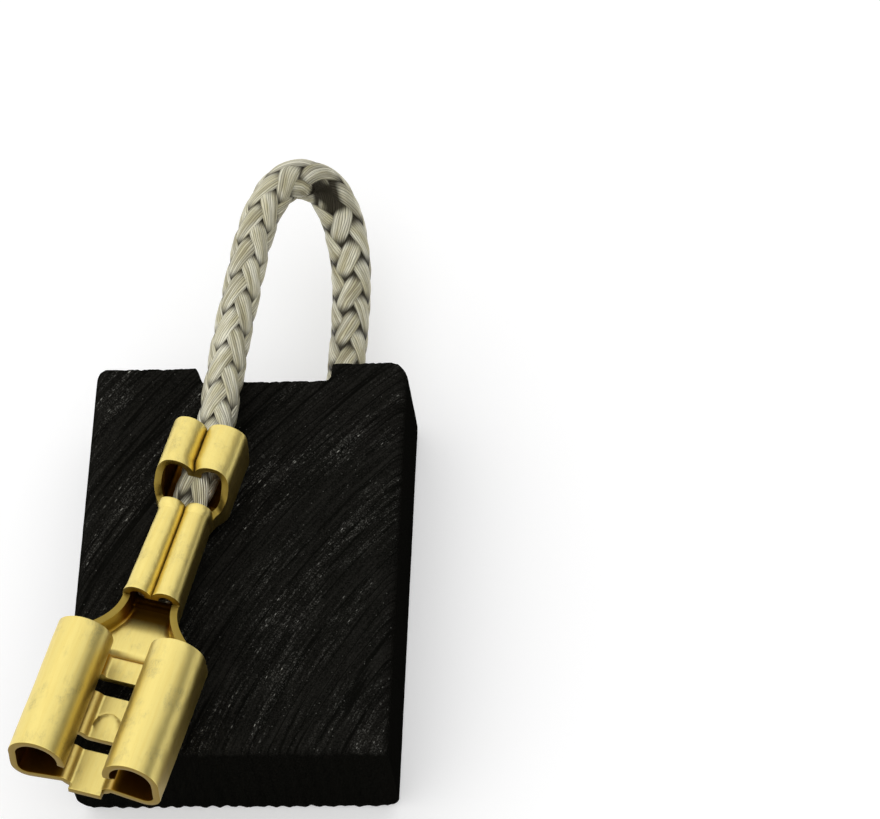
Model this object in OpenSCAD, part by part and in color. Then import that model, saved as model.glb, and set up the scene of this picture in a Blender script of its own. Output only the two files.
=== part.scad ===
// Carbon brush for the commutator of a power-tool motor: a pressed carbon block,
// a braided copper lead tamped into its end, and a crimped blade receptacle.
// Millimetres. The block lies on its large face, +Z up, with its contact face at -Y
// and the lead leaving at +Y. The origin is under the middle of the block.

/* [Carbon block] */
// Width of the block, across the brush holder
block_w = 16; // [14:0.5:20]
// Length of the block, from the contact face to the lead end
block_l = 22; // [18:0.5:30]
// Thickness of the block, along the motor shaft
block_t = 6.3; // [5.6:0.1:8]
// Rounding of the long edges of the upper face
upper_edge_r = 0.6; // [0.3:0.1:1.2]
// Rounding of the long edges of the underside
lower_edge_r = 1.1; // [0.5:0.1:1.8]
// Rounding of the lead-end corner on the far side from the lead
far_corner_r = 0.55; // [0.3:0.05:1.2]
// Rounding of the lead-end corner beside the lead
near_corner_r = 0.9; // [0.3:0.05:1.4]

/* [Spring groove] */
// Width of the groove that the spring arm presses in
groove_w = 7; // [5:0.25:8]
// Depth of the groove
groove_d = 1; // [0.6:0.1:1.4]
// Distance of the groove's middle from the middle of the block
groove_x = 0.65; // [0:0.05:0.9]
// Drop of the block's end on the far side of the groove, left by the press
far_land_drop = 0.15; // [0:0.05:0.3]
// Fillet between the groove's floor and its walls
groove_fillet_r = 0.4; // [0.1:0.05:0.4]
// Width of the sloping wall on the far side of the groove
groove_slope_w = 0.45; // [0:0.05:0.8]

/* [Contact face] */
// Spacing of the running-in flutes across the contact face
flute_pitch = 0.7; // [0.5:0.05:1.2]
// Depth of the running-in flutes
flute_d = 0.12; // [0.05:0.01:0.2]
// Smallest plain strip left between the flutes and the block's sides
flute_margin = 0.25; // [0.1:0.05:1]

/* [Lead and its hole] */
// Diameter of the braided lead
lead_d = 2; // [1.6:0.1:2.2]
// Distance of the lead's middle from the nearer side of the block
lead_to_side = 3.6; // [2.6:0.05:4]
// Diameter of the hole that the lead is tamped into
hole_d = 2.6; // [2.4:0.1:3.2]
// Depth of the hole below the lead end of the block
hole_depth = 5.4; // [4:0.1:8]
// Depth of the tamped powder's face below the groove's floor
powder_recess = 0.05; // [0:0.05:0.5]

/* [Receptacle] */
// Thickness of the brass strip
sheet_t = 0.35; // [0.3:0.01:0.4]
// Width over the two rolls
recept_w = 7.5; // [7.2:0.05:8.2]
// Length of the rolls
recept_l = 7.25; // [6.8:0.05:8.5]
// Height over the rolls
recept_h = 3.3; // [3:0.05:3.6]
// Outer radius of the upper curl of a roll
roll_r = 1.4; // [1.2:0.05:1.5]
// Outer radius of the lower bend of a roll
roll_corner_r = 0.8; // [0.6:0.05:1.1]
// Angle that the curl turns through, from the outer wall to its free edge
curl_angle = 212; // [195:1:216]
// Half width of the strip that is pressed down along the middle of the floor
strip_half_w = 0.75; // [0.5:0.05:0.9]
// Depth of the pressed strip below the floor beside it
strip_drop = 0.3; // [0.1:0.05:0.4]
// Distance that the pressed strip stands out past the rolls
lip = 0.3; // [0.1:0.05:0.8]
// Angle of the lead-in cut at the front of each free edge
lead_in_angle = 35; // [20:1:50]

/* [Floor windows and dimple] */
// Half width of the two windows in the floor
window_half_w = 1.6; // [1.2:0.05:2]
// Distance of the front window behind the rolls' mouth
front_window_y = 1.9; // [1.5:0.05:2.3]
// Length of the front window
front_window_l = 0.7; // [0.4:0.05:1]
// Distance of the rear window behind the rolls' mouth
rear_window_y = 4.97; // [4.6:0.01:5.4]
// Length of the rear window
rear_window_l = 0.95; // [0.5:0.05:1.2]
// Radius of the locking dimple between the windows
dimple_r = 0.62; // [0.4:0.02:0.7]
// Height of the dimple's rear edge above the floor
dimple_h = 0.14; // [0.05:0.01:0.25]

/* [Crimp barrels] */
// Length of the open transition between the rolls and the wire barrel
transition_l = 2.85; // [2:0.05:4]
// Length of the wire barrel
wire_barrel_l = 5; // [4:0.05:6]
// Width of the wire barrel at its front
wire_barrel_w = 2.84; // [2.7:0.02:3.2]
// Height of the wire barrel's top above the receptacle's lowest face
wire_barrel_top = 2.2; // [2.1:0.05:2.4]
// Length of the bell mouth behind the wire barrel
bell_l = 0.4; // [0.2:0.05:0.8]
// Flare of the bell mouth, on each side
bell_flare = 0.2; // [0.05:0.01:0.3]
// Length of the rear barrel at its seam
rear_barrel_l = 2.7; // [2:0.1:3.5]
// Width of the rear barrel
rear_barrel_w = 4; // [3.8:0.05:4.4]
// Height of the rear barrel's top above the receptacle's lowest face
rear_barrel_top = 3.3; // [3.2:0.05:3.8]
// Length of the open neck between the bell mouth and the rear barrel's seam
neck_l = 1.45; // [1.2:0.05:2]
// Height of the low walls that join the two barrels
neck_wall_h = 1.25; // [1:0.05:1.6]
// Gap left between the two crimped edges along each seam
seam_gap = 0.05; // [0.02:0.01:0.1]

/* [How the terminal lies] */
// Place of the rolls' mouth across the block
terminal_x = -6.1; // [-7:0.05:-5]
// Place of the rolls' mouth along the block
terminal_y = -13.7; // [-15:0.1:-12]
// Turn of the terminal away from the block's length
heading = 13.6; // [5:0.1:20]
// Lift of the rolls' mouth above the rear barrel, as an angle
front_lift = 4.5; // [4:0.1:8]
// Lean of the terminal to the side
side_lean = 3; // [0:0.1:5]
// Clearance between the rear barrel and the block's upper face
rest_gap = 0.05; // [0.02:0.01:0.3]

/* [Hidden] */

eps = 0.01;
CARBON = [0.13, 0.13, 0.13];
POWDER = [0.22, 0.21, 0.2];
BRAID = [0.72, 0.69, 0.64];
BRASS = [0.83, 0.72, 0.32];

// Middle line of the lead's loop, from the lead end of the block to the rear barrel
LOOP = [
    [4.4, 11, 3.15], [4.4, 12.8, 3.15], [4.45, 14.6, 3.15], [4.45, 16.4, 3.2], [4.4, 18.2, 3.45],
    [4.2, 19.8, 3.95], [3.85, 21.15, 4.65], [3.3, 22.05, 5.5], [2.5, 22.45, 6.25],
    [1.65, 22.2, 6.9], [0.85, 21.35, 7.4], [0.25, 19.95, 7.65], [-0.15, 18.2, 7.8],
    [-0.4, 16.3, 7.9], [-0.65, 14.2, 7.95], [-0.9, 12.2, 7.95], [-1.1, 10.2, 7.9],
    [-1.3, 8.2, 7.85], [-1.5, 6.2, 7.8]
];
// Depths below the lead end at which the lead in the hole is drawn, deepest first
HOLE_STATIONS = [4.8, 3, 1.4];
// Half width and half height of the lead where the wire barrel flattens it
CRIMPED_HALF = [0.95, 0.52];
LEAD_SIDES = 8;

half_w = block_w / 2;
half_l = block_l / 2;
lead_x = half_w - lead_to_side;
lead_z = block_t / 2;
flute_r = (pow(flute_pitch / 2, 2) + flute_d * flute_d) / (2 * flute_d);
flute_count = floor((block_w - 2 * flute_margin) / flute_pitch);

// Stations along the terminal, from the rolls' mouth to the back
wire_front_y = recept_l + transition_l;
wire_rear_y = wire_front_y + wire_barrel_l;
bell_rear_y = wire_rear_y + bell_l;
rear_front_y = bell_rear_y + neck_l;
terminal_l = rear_front_y + rear_barrel_l;
wire_barrel_rear_w = wire_barrel_w - 0.3;
wire_seam_z = wire_barrel_top - 0.45;
rear_seam_z = rear_barrel_top - 0.65;
barrel_corner_r = 0.5;
ridge_u = strip_half_w + 0.35;
terminal_z = block_t + rest_gap + terminal_l * sin(front_lift) + rear_barrel_w / 2 * sin(side_lean);

// ---- Small helpers -------------------------------------------------------------

// Points of an arc, from angle a0 to angle a1 in n steps
function arc(centre, r, a0, a1, n) =
    [for (i = [0:n]) let (a = a0 + (a1 - a0) * i / n) centre + r * [cos(a), sin(a)]];

function reversed(list) = [for (i = [len(list) - 1:-1:0]) list[i]];

function mirrored(list) = [for (p = list) [-p[0], p[1]]];

function mix(a, b, s) = a + (b - a) * s;

// Closed outline of a bent strip from the half paths of its two faces, which both
// start on the middle line and end at the strip's free edge
function strip_outline(outer, inner) = concat(
    reversed(mirrored([for (i = [1:len(outer) - 1]) outer[i]])), outer,
    reversed(inner), mirrored([for (i = [1:len(inner) - 1]) inner[i]]));

// Solid through a row of strip outlines, each given as [y, outline]
module loft(sections) {
    n = len(sections[0][1]);
    back = (len(sections) - 1) * n;
    polyhedron(
        points = [for (s = sections) for (p = s[1]) [p[0], s[0], p[1]]],
        faces = concat(
            [for (i = [0:len(sections) - 2]) for (j = [0:n - 1])
                let (a = i * n + j, b = i * n + (j + 1) % n) [a, b, b + n, a + n]],
            [for (k = [0:n / 2 - 2]) [n - 1 - k, n - 2 - k, k + 1, k]],
            [for (k = [0:n / 2 - 2]) [for (j = [k, k + 1, n - 2 - k, n - 1 - k]) back + j]]),
        convexity = 8);
}

// What a rounded corner takes off, for the corner at the origin of quadrant [sx, sy]
module corner_waste(r, sx, sy) {
    scale_x = sx > 0 ? 0 : 1;
    scale_y = sy > 0 ? 0 : 1;
    mirror([scale_x, 0]) mirror([0, scale_y]) translate([-r, -r]) difference() {
        square(r + 1);
        circle(r, $fn = 48);
    }
}

// ---- Carbon block ----------------------------------------------------------------

module groove_outline() {
    x0 = groove_x - groove_w / 2;
    x1 = groove_x + groove_w / 2;
    floor_y = half_l - groove_d;
    difference() {
        polygon([[x0, half_l + 1], [x0, half_l], [x0 + groove_slope_w, floor_y],
            [x1, floor_y], [x1, half_l + 1]]);
        // fillet under the steep wall, beside the lead
        translate([x1, floor_y]) corner_fillet(groove_fillet_r);
    }
}

// Material left in the inner corner of the groove: the corner is at the origin, and
// the groove lies to its left and above it
module corner_fillet(r) {
    difference() {
        translate([-r, -1]) square([r + 1, r + 1]);
        translate([-r, r]) circle(r, $fn = 48);
    }
}

module plan_outline() {
    difference() {
        translate([-half_w, -half_l]) square([block_w, block_l]);
        translate([-half_w - 1, half_l - far_land_drop]) square([1 + half_w + groove_x, 1]);
        translate([-half_w, half_l - far_land_drop]) corner_waste(far_corner_r, -1, 1);
        translate([half_w, half_l]) corner_waste(near_corner_r, 1, 1);
        groove_outline();
        for (i = [0:flute_count - 1])
            translate([(i - (flute_count - 1) / 2) * flute_pitch, -half_l - flute_r + flute_d])
                circle(flute_r, $fn = 48);
    }
}

module section_outline() {
    difference() {
        translate([-half_w, 0]) square([block_w, block_t]);
        for (side = [-1, 1]) {
            translate([side * half_w, block_t]) corner_waste(upper_edge_r, side, 1);
            translate([side * half_w, 0]) corner_waste(lower_edge_r, side, -1);
        }
    }
}

// Cylinder along the lead, from depth d0 to depth d1 below the lead end
module hole_cylinder(d, d0, d1, sides) {
    translate([lead_x, half_l - d0, lead_z]) rotate([90, 180 / sides, 0])
        cylinder(h = d1 - d0, d = d, $fn = sides);
}

module carbon_block() color(CARBON) {
    difference() {
        intersection() {
            linear_extrude(block_t) plan_outline();
            translate([0, half_l, 0]) rotate([90, 0, 0]) linear_extrude(block_l) section_outline();
        }
        hole_cylinder(hole_d, -1, hole_depth, 64);
    }
}

// ---- Lead ------------------------------------------------------------------------

module tamping_plug() color(POWDER) {
    difference() {
        hole_cylinder(hole_d, groove_d + powder_recess, hole_depth, 64);
        hole_cylinder(lead_d, -1, HOLE_STATIONS[0], LEAD_SIDES);
    }
}

function unit(v) = v / norm(v);

// World place of a point of the terminal, at y along it and z above its lowest face
function terminal_point(y, z) =
    let (
        z1 = z * cos(side_lean),
        y2 = y * cos(front_lift) + z1 * sin(front_lift),
        z2 = -y * sin(front_lift) + z1 * cos(front_lift),
        x1 = z * sin(side_lean))
    [terminal_x + x1 * cos(heading) + y2 * sin(heading),
        terminal_y - x1 * sin(heading) + y2 * cos(heading), terminal_z + z2];

// Heights of the lead's middle in the rear barrel and in the wire barrel, on their floors
lead_play = 0.03;
lead_apothem = cos(180 / LEAD_SIDES);
round_z = sheet_t + lead_d / 2 * lead_apothem + lead_play;
crimped_z = sheet_t + CRIMPED_HALF[1] * lead_apothem + lead_play;
ROUND_HALF = [lead_d / 2, lead_d / 2];

// Each station of the lead as [middle, [half width, half height]]
LEAD = concat(
    [for (d = HOLE_STATIONS) [[lead_x, half_l - d, lead_z], ROUND_HALF]],
    [for (i = [0:len(LOOP) - 1])
        let (s = i / (len(LOOP) - 1))
        [LOOP[i] + (1 - s) * ([lead_x, half_l, lead_z] - LOOP[0])
            + s * (terminal_point(terminal_l, round_z) - LOOP[len(LOOP) - 1]), ROUND_HALF]],
    [for (y = [terminal_l - 1.3, rear_front_y + 0.1]) [terminal_point(y, round_z), ROUND_HALF]],
    [[terminal_point(bell_rear_y + 0.45, (round_z + crimped_z) / 2), (ROUND_HALF + CRIMPED_HALF) / 2]],
    [for (y = [bell_rear_y, wire_rear_y - 2, wire_front_y + 0.5])
        [terminal_point(y, crimped_z), CRIMPED_HALF]]);

function tangent(i) = unit(LEAD[min(i + 1, len(LEAD) - 1)][0] - LEAD[max(i - 1, 0)][0]);

function lead_ring(i) =
    let (along = tangent(i), side = unit(cross(along, [0, 0, 1])), up = cross(side, along))
    [for (k = [0:LEAD_SIDES - 1])
        let (a = (k + 0.5) * 360 / LEAD_SIDES)
        LEAD[i][0] + LEAD[i][1][0] * cos(a) * side + LEAD[i][1][1] * sin(a) * up];

module shunt() color(BRAID) {
    rings = [for (i = [0:len(LEAD) - 1]) lead_ring(i)];
    n = LEAD_SIDES;
    last = len(rings) - 1;
    polyhedron(
        points = [for (ring = rings) for (p = ring) p],
        faces = concat(
            [for (i = [0:last - 1]) for (k = [0:n - 1])
                let (a = i * n + k, b = i * n + (k + 1) % n) [a, b, b + n, a + n]],
            [[for (k = [n - 1:-1:0]) k], [for (k = [0:n - 1]) last * n + k]]));
}

// ---- Terminal, one strip of brass cut, pressed and folded -------------------------

// Half path of the receptacle's section on the face that lies "inset" from the outside
function roll_path(inset) = concat(
    [[0, inset], [strip_half_w, inset], [ridge_u, strip_drop + inset]],
    arc([recept_w / 2 - roll_corner_r, roll_corner_r], roll_corner_r - inset, -95, 0, 6),
    arc([recept_w / 2 - roll_r, recept_h - roll_r], roll_r - inset, 0, curl_angle, 16));

// Half path of the open channel at share s of the way from the wire barrel to the rolls
function channel_path(s, inset) =
    let (
        wide = pow(s, 2.2),
        half = mix(wire_barrel_w / 2, recept_w / 2 - 0.05, wide),
        base = mix(0.1, 0.05, wide),
        r = mix(barrel_corner_r, roll_corner_r, wide),
        top = mix(wire_seam_z + 0.1, 1.5, pow(s, 0.6)))
    concat(
        [[0, mix(base, strip_drop, min(1, 1.5 * s)) + inset]],
        arc([half - r, base + r], r - inset, -90, 0, 6),
        [[half - inset, max(top, base + r + 0.05)]]);

// Half path of a closed barrel with two lobes that meet along a seam
function lobe_path(half, base, top, seam_z, inset) =
    let (lobe_r = half / 2)
    concat(
        [[0, base + inset]],
        arc([half - barrel_corner_r, base + barrel_corner_r], barrel_corner_r - inset, -90, 0, 5),
        arc([half - lobe_r, top - lobe_r], lobe_r - inset, 0, 140, 9),
        [[seam_gap / 2, seam_z - inset]]);

function lobe_section(y, half, base, top, seam_z) =
    [y, strip_outline(lobe_path(half, base, top, seam_z, 0), lobe_path(half, base, top, seam_z, sheet_t))];

module receptacle() {
    difference() {
        union() {
            translate([0, recept_l, 0]) rotate([90, 0, 0]) linear_extrude(recept_l)
                polygon(strip_outline(roll_path(0), roll_path(sheet_t)));
            translate([-strip_half_w, -lip, 0]) cube([2 * strip_half_w, lip + eps, sheet_t]);
        }
        floor_window(front_window_y, front_window_l);
        floor_window(rear_window_y, rear_window_l);
        for (side = [-1, 1]) lead_in_cut(side);
    }
    dimple();
}

module floor_window(y, l) {
    translate([-window_half_w, y, -1]) cube([2 * window_half_w, l, 1 + strip_drop + sheet_t + 0.1]);
}

// Takes the front corner off the free edge of a roll, so that a blade finds its way in
module lead_in_cut(side) {
    edge_u = recept_w / 2 - roll_r;
    translate([side * (edge_u - roll_r / 2), 0, recept_h - roll_r]) rotate([lead_in_angle, 0, 0])
        translate([-roll_r / 2, -2, -2]) cube([roll_r, 2, 2]);
}

// Half-sheared dimple that snaps into the hole of the blade, proud at its rear edge
module dimple() {
    y = (front_window_y + front_window_l + rear_window_y) / 2 - dimple_r / 2;
    translate([0, y, sheet_t]) rotate([asin(dimple_h / (2 * dimple_r)), 0, 0])
        translate([0, 0, -sheet_t / 2]) cylinder(h = sheet_t / 2 + dimple_h / 2, r = dimple_r, $fn = 40);
}

module transition() {
    steps = 9;
    loft([for (i = [0:steps]) let (s = 1 - i / steps)
        [wire_front_y + 0.1 - s * (transition_l + 0.2),
            strip_outline(channel_path(s, 0), channel_path(s, sheet_t))]]);
}

module wire_barrel() {
    front = wire_barrel_w / 2;
    rear = wire_barrel_rear_w / 2;
    base = 0;
    loft([
        lobe_section(wire_front_y, front + 0.04, base, wire_barrel_top + 0.06, wire_seam_z + 0.04),
        lobe_section(wire_front_y + 0.4, front, base, wire_barrel_top, wire_seam_z),
        lobe_section(wire_rear_y, rear, base, wire_barrel_top, wire_seam_z),
        lobe_section(wire_rear_y + 0.12, rear + bell_flare * 0.8, base, wire_barrel_top + bell_flare * 0.8,
            wire_seam_z + bell_flare * 0.4),
        lobe_section(bell_rear_y, rear + bell_flare, base, wire_barrel_top + bell_flare,
            wire_seam_z + bell_flare * 0.5)
    ]);
}

module rear_barrel() {
    half = rear_barrel_w / 2;
    base = 0;
    low = wire_barrel_top + bell_flare;
    difference() {
        loft([
            lobe_section(bell_rear_y - 0.3, wire_barrel_rear_w / 2 + bell_flare, base, low, low - 0.45),
            lobe_section(bell_rear_y + 0.35, mix(wire_barrel_rear_w / 2 + bell_flare, half, 0.7), base,
                mix(low, rear_barrel_top, 0.6), mix(low - 0.45, rear_seam_z, 0.6)),
            lobe_section(bell_rear_y + 1, half, base, rear_barrel_top, rear_seam_z),
            lobe_section(terminal_l, half, base, rear_barrel_top, rear_seam_z)
        ]);
        neck_cut();
    }
}

// Opens the top of the neck: behind it the barrel's wings rise from a low wall to an upright
// front edge
module neck_cut() {
    clear = rear_barrel_top + 1;
    translate([-rear_barrel_w, 0, 0]) rotate([90, 0, 90]) linear_extrude(2 * rear_barrel_w)
        polygon([[bell_rear_y - 0.5, clear], [bell_rear_y - 0.5, neck_wall_h],
            [bell_rear_y + 0.35, neck_wall_h], [rear_front_y, rear_barrel_top * 0.65],
            [rear_front_y, clear]]);
}

module terminal() color(BRASS) {
    translate([terminal_x, terminal_y, terminal_z]) rotate([0, 0, -heading])
        rotate([-front_lift, 0, 0]) rotate([0, side_lean, 0]) {
            receptacle();
            transition();
            wire_barrel();
            rear_barrel();
        }
}

carbon_block();
tamping_plug();
shunt();
terminal();
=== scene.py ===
"""Looks of a carbon brush: ground carbon block, braided lead and crimped brass receptacle."""

from __future__ import annotations

import logging
import math
import random
from dataclasses import dataclass, field
from enum import Enum
from typing import Sequence, Union

import bmesh
import bpy
from mathutils import Matrix, Vector, noise

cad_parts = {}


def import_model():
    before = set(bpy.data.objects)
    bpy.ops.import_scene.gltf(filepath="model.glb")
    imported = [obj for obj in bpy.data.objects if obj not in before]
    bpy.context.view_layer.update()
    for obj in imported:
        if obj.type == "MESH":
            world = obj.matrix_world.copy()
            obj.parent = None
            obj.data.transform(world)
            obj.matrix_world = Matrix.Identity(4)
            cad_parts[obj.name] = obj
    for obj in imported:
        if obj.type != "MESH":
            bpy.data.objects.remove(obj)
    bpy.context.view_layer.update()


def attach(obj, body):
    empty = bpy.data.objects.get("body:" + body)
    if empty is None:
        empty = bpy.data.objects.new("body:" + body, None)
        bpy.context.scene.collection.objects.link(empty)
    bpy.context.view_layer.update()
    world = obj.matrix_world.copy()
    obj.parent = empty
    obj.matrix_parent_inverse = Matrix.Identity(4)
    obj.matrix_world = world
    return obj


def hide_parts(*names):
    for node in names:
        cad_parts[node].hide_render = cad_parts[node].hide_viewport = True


LOG = logging.getLogger("carbon_brush")
MM = 0.001
WELD = 1e-8
TINY = 1e-9
Colour = tuple[float, float, float]
Point = tuple[float, float, float]
Path = list[tuple[float, float]]
Feed = Union[bpy.types.NodeSocket, float, Colour]


class Slot(Enum):
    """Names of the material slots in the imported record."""

    CARBON = "carbon"
    BRAID = "tinned_copper_braid"
    BRASS = "brass_strip"


class Tangle(Enum):
    """Which way a strand of the braid winds round the lead."""

    LEFT = -1
    RIGHT = 1


# ---- Helpers ----------------------------------------------------------------------


def mix(a: float, b: float, share: float) -> float:
    """Return the value that lies at a share of the way from a to b."""
    return a + (b - a) * share


def clamp(x: float, low: float = 0.0, high: float = 1.0) -> float:
    """Return a value held between two limits."""
    return max(low, min(high, x))


def smooth(a: float, b: float, x: float) -> float:
    """Return a soft step that is 0 at a and 1 at b."""
    t = clamp((x - a) / (b - a))
    return t * t * (3 - 2 * t)


def linear(colour: str) -> Colour:
    """Return the linear red, green and blue of an sRGB hex code."""
    parts = [int(colour[i : i + 2], 16) / 255 for i in (0, 2, 4)]
    return tuple(c / 12.92 if c <= 0.04045 else ((c + 0.055) / 1.055) ** 2.4 for c in parts)


def dimmed(colour: Colour, share: float) -> Colour:
    """Return a colour at a share of its brightness."""
    return tuple(c * share for c in colour)


def new_mesh(name: str, bm: bmesh.types.BMesh) -> bpy.types.Mesh:
    """Turn a bmesh into a mesh, and free it.

    Args:
        name: Name of the mesh.
        bm: The shape, in metres.

    Returns:
        The mesh.
    """
    mesh = bpy.data.meshes.new(name)
    bm.to_mesh(mesh)
    bm.free()
    return mesh


def new_object(name: str, data: bpy.types.ID) -> bpy.types.Object:
    """Put a mesh, a lamp or a camera into the scene.

    Args:
        name: Name of the object.
        data: What the object shows.

    Returns:
        The new object, at the origin.
    """
    made = bpy.data.objects.new(name, data)
    bpy.context.scene.collection.objects.link(made)
    return made


def closed(bm: bmesh.types.BMesh) -> bmesh.types.BMesh:
    """Close a tube made from a grid: weld its seam, cap its ends and turn its faces outwards.

    Args:
        bm: Grid whose first and last columns lie on each other.

    Returns:
        The same mesh, as a closed shell.
    """
    bmesh.ops.remove_doubles(bm, verts=bm.verts, dist=WELD)
    bmesh.ops.holes_fill(bm, edges=[e for e in bm.edges if e.is_boundary], sides=0)
    bmesh.ops.recalc_face_normals(bm, faces=bm.faces)
    return bm


def piece_object(name: str, bm: bmesh.types.BMesh, material: bpy.types.Material) -> bpy.types.Object:
    """Turn a finished bmesh into a smooth-shaded piece that rides on the brush.

    Args:
        name: Name of the new piece.
        bm: The mesh, in metres, where it belongs; it is freed here.
        material: Finish of the piece.

    Returns:
        The new object, at the origin.
    """
    mesh = new_mesh(name, bm)
    mesh.materials.append(material)
    for face in mesh.polygons:
        face.use_smooth = True
    piece = new_object(name, mesh)
    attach(piece, "root")
    return piece


# ---- Finishes ---------------------------------------------------------------------


@dataclass(frozen=True)
class Mottle:
    """A noise pattern, stretched along the coordinates that it is laid on."""

    scale: Point
    detail: float = 3
    rough: float = 0.6
    twist: float = 0.0
    shift: Point = (0, 0, 0)


class Graph:
    """Small builder for a material's node tree."""

    def __init__(self, name: str) -> None:
        """Start a material with a Principled shader.

        Args:
            name: Name of the material.
        """
        self.material = bpy.data.materials.new(name)
        self.material.use_nodes = True
        self.nodes = self.material.node_tree.nodes
        self.links = self.material.node_tree.links
        self.shader = self.nodes["Principled BSDF"]
        self.space = self.nodes.new("ShaderNodeTexCoord").outputs["Object"]

    def node(self, kind: str, **settings: object) -> bpy.types.Node:
        """Add a node.

        Args:
            kind: Type of the node.
            **settings: Values for its properties.

        Returns:
            The new node.
        """
        made = self.nodes.new(kind)
        for key, value in settings.items():
            setattr(made, key, value)
        return made

    def feed(self, socket: bpy.types.NodeSocket, value: Feed) -> None:
        """Link a socket to an output, or set its value.

        Args:
            socket: Input of a node.
            value: Output of another node, a number or a colour.
        """
        if isinstance(value, bpy.types.NodeSocket):
            self.links.new(value, socket)
        elif isinstance(value, tuple) and len(value) == 3:
            socket.default_value = (*value, 1.0)
        else:
            socket.default_value = value

    def split(self, vector: bpy.types.NodeSocket) -> Sequence[bpy.types.NodeSocket]:
        """Return the three parts of a vector.

        Args:
            vector: Output that holds a vector.

        Returns:
            Its x, y and z.
        """
        made = self.node("ShaderNodeSeparateXYZ")
        self.feed(made.inputs[0], vector)
        return made.outputs

    def layer(self, name: str) -> bpy.types.NodeSocket:
        """Return a piece's own UV map."""
        return self.node("ShaderNodeUVMap", uv_map=name).outputs["UV"]

    def painted(self, name: str) -> bpy.types.NodeSocket:
        """Return a value that is stored on a piece's points."""
        return self.node("ShaderNodeAttribute", attribute_name=name).outputs["Fac"]

    def placed(self, source: bpy.types.NodeSocket, scale: Point,
               shift: Point = (0, 0, 0)) -> bpy.types.NodeSocket:
        """Scale and shift coordinates for a pattern.

        Args:
            source: Coordinates to start from.
            scale: Scale along each of them.
            shift: Shift after the scaling.

        Returns:
            The new coordinates.
        """
        mapping = self.node("ShaderNodeMapping")
        self.feed(mapping.inputs["Vector"], source)
        mapping.inputs["Location"].default_value = shift
        mapping.inputs["Scale"].default_value = scale
        return mapping.outputs["Vector"]

    def cloud(self, where: bpy.types.NodeSocket, scale: float, detail: float, rough: float,
              twist: float = 0.0) -> bpy.types.NodeSocket:
        """Add a noise pattern of one scale in all directions.

        Args:
            where: Coordinates of the pattern.
            scale: Grains for each unit of length.
            detail: Number of finer layers.
            rough: Strength of each finer layer.
            twist: Distortion of the pattern.

        Returns:
            The noise, between 0 and 1.
        """
        made = self.node("ShaderNodeTexNoise")
        self.feed(made.inputs["Vector"], where)
        for key, value in (("Scale", scale), ("Detail", detail), ("Roughness", rough), ("Distortion", twist)):
            made.inputs[key].default_value = value
        return made.outputs["Fac"]

    def mottle(self, source: bpy.types.NodeSocket, kind: Mottle) -> bpy.types.NodeSocket:
        """Return a stretched noise pattern laid on some coordinates."""
        where = self.placed(source, kind.scale, kind.shift)
        return self.cloud(where, 1.0, kind.detail, kind.rough, kind.twist)

    def grains(self, where: bpy.types.NodeSocket, scale: float) -> Sequence[bpy.types.NodeSocket]:
        """Add a pattern of grains.

        Args:
            where: Coordinates of the pattern.
            scale: Grains for each unit of length.

        Returns:
            The distance from the middle of a grain, and a random value for each grain.
        """
        made = self.node("ShaderNodeTexVoronoi")
        self.feed(made.inputs["Vector"], where)
        made.inputs["Scale"].default_value = scale
        return made.outputs["Distance"], made.outputs["Color"]

    def ramp(self, factor: Feed, low: float, high: float, bottom: float = 0.0,
             top: float = 1.0) -> bpy.types.NodeSocket:
        """Stretch a factor with a soft step, and clamp it.

        Args:
            factor: Value to stretch.
            low: Value that becomes the bottom one.
            high: Value that becomes the top one.
            bottom: Result below the step.
            top: Result above the step.

        Returns:
            The stretched factor.
        """
        made = self.node("ShaderNodeMapRange", interpolation_type="SMOOTHSTEP")
        self.feed(made.inputs["Value"], factor)
        for key, value in (("From Min", low), ("From Max", high), ("To Min", bottom), ("To Max", top)):
            made.inputs[key].default_value = value
        return made.outputs["Result"]

    def calc(self, kind: str, a: Feed, b: Feed = 0.0, limited: bool = False) -> bpy.types.NodeSocket:
        """Reckon with one or two values.

        Args:
            kind: Operation of the Math node.
            a: First value.
            b: Second value.
            limited: Whether the result is held between 0 and 1.

        Returns:
            The result.
        """
        made = self.node("ShaderNodeMath", operation=kind, use_clamp=limited)
        self.feed(made.inputs[0], a)
        self.feed(made.inputs[1], b)
        return made.outputs[0]

    def times(self, a: Feed, b: Feed) -> bpy.types.NodeSocket:
        """Return a product."""
        return self.calc("MULTIPLY", a, b)

    def plus(self, a: Feed, b: Feed) -> bpy.types.NodeSocket:
        """Return a sum."""
        return self.calc("ADD", a, b)

    def minus(self, a: Feed, b: Feed) -> bpy.types.NodeSocket:
        """Return a difference."""
        return self.calc("SUBTRACT", a, b)

    def most(self, a: Feed, b: Feed) -> bpy.types.NodeSocket:
        """Return the larger of two values."""
        return self.calc("MAXIMUM", a, b)

    def blend(self, factor: Feed, a: Feed, b: Feed) -> bpy.types.NodeSocket:
        """Mix two colours.

        Args:
            factor: Share of the second colour.
            a: First colour.
            b: Second colour.

        Returns:
            The mixed colour.
        """
        made = self.node("ShaderNodeMix", data_type="RGBA")
        self.feed(made.inputs["Factor"], factor)
        self.feed(made.inputs[6], a)
        self.feed(made.inputs[7], b)
        return made.outputs[2]

    def bump(self, height: Feed, depth: float, strength: float = 1.0,
             under: bpy.types.NodeSocket | None = None) -> bpy.types.NodeSocket:
        """Bend the normal by a height.

        Args:
            height: Height, between 0 and 1.
            depth: What a height of 1 stands for, in metres.
            strength: Strength of the effect.
            under: Normal that is bent already.

        Returns:
            The bent normal.
        """
        made = self.node("ShaderNodeBump")
        made.inputs["Distance"].default_value = depth
        made.inputs["Strength"].default_value = strength
        self.feed(made.inputs["Height"], height)
        if under is not None:
            self.feed(made.inputs["Normal"], under)
        return made.outputs["Normal"]

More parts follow.
